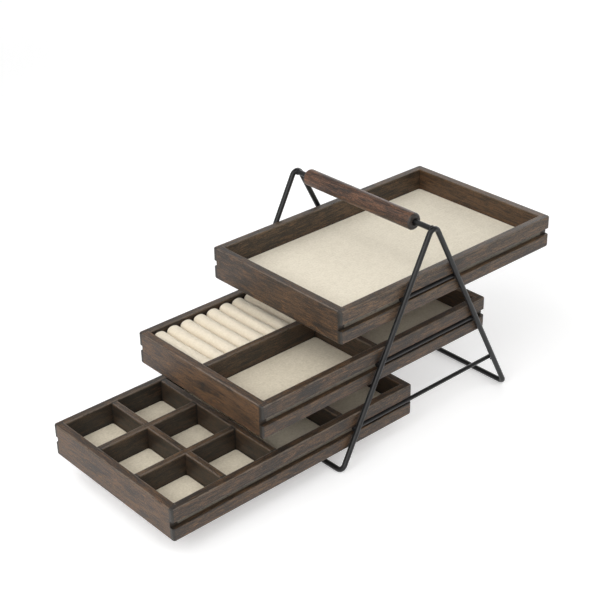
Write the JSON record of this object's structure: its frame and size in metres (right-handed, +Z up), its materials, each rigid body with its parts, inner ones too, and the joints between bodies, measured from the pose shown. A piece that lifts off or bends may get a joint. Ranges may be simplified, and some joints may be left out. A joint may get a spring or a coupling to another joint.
{
  "type": "portable tiered jewellery organiser",
  "caption": "Portable jewellery organiser: lined wooden trays slide lengthwise on wire rails inside an A-shaped black wire stand with a wooden grip on top.",
  "frame": {"origin": "on the table surface, midway between the floor bars and midway between the near and the far legs", "axes": "+X along the trays towards the top tray's overhang, +Y across the trays towards the far side, +Z up"},
  "size_m": [0.4628, 0.1836, 0.2132],
  "materials": {
    "tray_wood": "dark walnut stain, thin satin lacquer",
    "grip_wood": "reddish walnut stain, satin",
    "base_panel": "stained panel, matt",
    "linen": "cream linen over a thin pad",
    "roll_fabric": "smooth cream suede cloth over foam",
    "black_wire": "black powder coat, satin"
  },
  "bodies": {
    "stand": {"far_apex_bend": "black_wire", "far_bottom_rail": "black_wire", "far_left_leg": "black_wire", "far_middle_rail": "black_wire", "far_right_leg": "black_wire", "far_top_rail": "black_wire", "handle_rod": "black_wire", "left_floor_bar": "black_wire", "near_apex_bend": "black_wire", "near_bottom_rail": "black_wire", "near_left_leg": "black_wire", "near_middle_rail": "black_wire", "near_right_leg": "black_wire", "near_top_rail": "black_wire", "right_floor_bar": "black_wire"},
    "grip": {"grip": "grip_wood"},
    "top_tray": {"top_base": "base_panel", "top_far_side": "tray_wood", "top_left_end": "tray_wood", "top_lining": "linen", "top_near_side": "tray_wood", "top_right_end": "tray_wood"},
    "middle_tray": {"middle_base": "base_panel", "middle_cross_divider": "tray_wood", "middle_far_side": "tray_wood", "middle_left_end": "tray_wood", "middle_long_divider": "tray_wood", "middle_near_lining": "linen", "middle_near_side": "tray_wood", "middle_right_end": "tray_wood", "middle_right_lining": "linen", "ring_roll_1": "roll_fabric", "ring_roll_2": "roll_fabric", "ring_roll_3": "roll_fabric", "ring_roll_4": "roll_fabric", "ring_roll_5": "roll_fabric", "ring_roll_6": "roll_fabric", "ring_roll_7": "roll_fabric", "ring_roll_8": "roll_fabric"},
    "bottom_tray": {"bottom_base": "base_panel", "bottom_bay_divider": "tray_wood", "bottom_cell_lining_1": "linen", "bottom_cell_lining_2": "linen", "bottom_cell_lining_3": "linen", "bottom_cell_lining_4": "linen", "bottom_cell_lining_5": "linen", "bottom_cell_lining_6": "linen", "bottom_cells_divider": "tray_wood", "bottom_column_divider_1": "tray_wood", "bottom_far_side": "tray_wood", "bottom_large_lining": "linen", "bottom_left_end": "tray_wood", "bottom_near_side": "tray_wood", "bottom_right_end": "tray_wood", "bottom_right_lining": "linen", "bottom_row_divider_1": "tray_wood", "bottom_row_divider_2": "tray_wood"}
  },
  "joints": [
    {"name": "top_tray_slide", "type": "slide", "parent": "stand", "child": "top_tray", "axis": [1, 0, 0], "range_m": [-0.1402, 0.0798]},
    {"name": "middle_tray_slide", "type": "slide", "parent": "stand", "child": "middle_tray", "axis": [1, 0, 0], "range_m": [-0.0786, 0.1974]},
    {"name": "bottom_tray_slide", "type": "slide", "parent": "stand", "child": "bottom_tray", "axis": [1, 0, 0], "range_m": [-0.0104, 0.3236]},
    {"name": "grip_spin", "type": "hinge", "parent": "stand", "child": "grip", "pos_m": [0, 0, 0.2052], "axis": [0, 1, 0], "continuous": true}
  ]
}
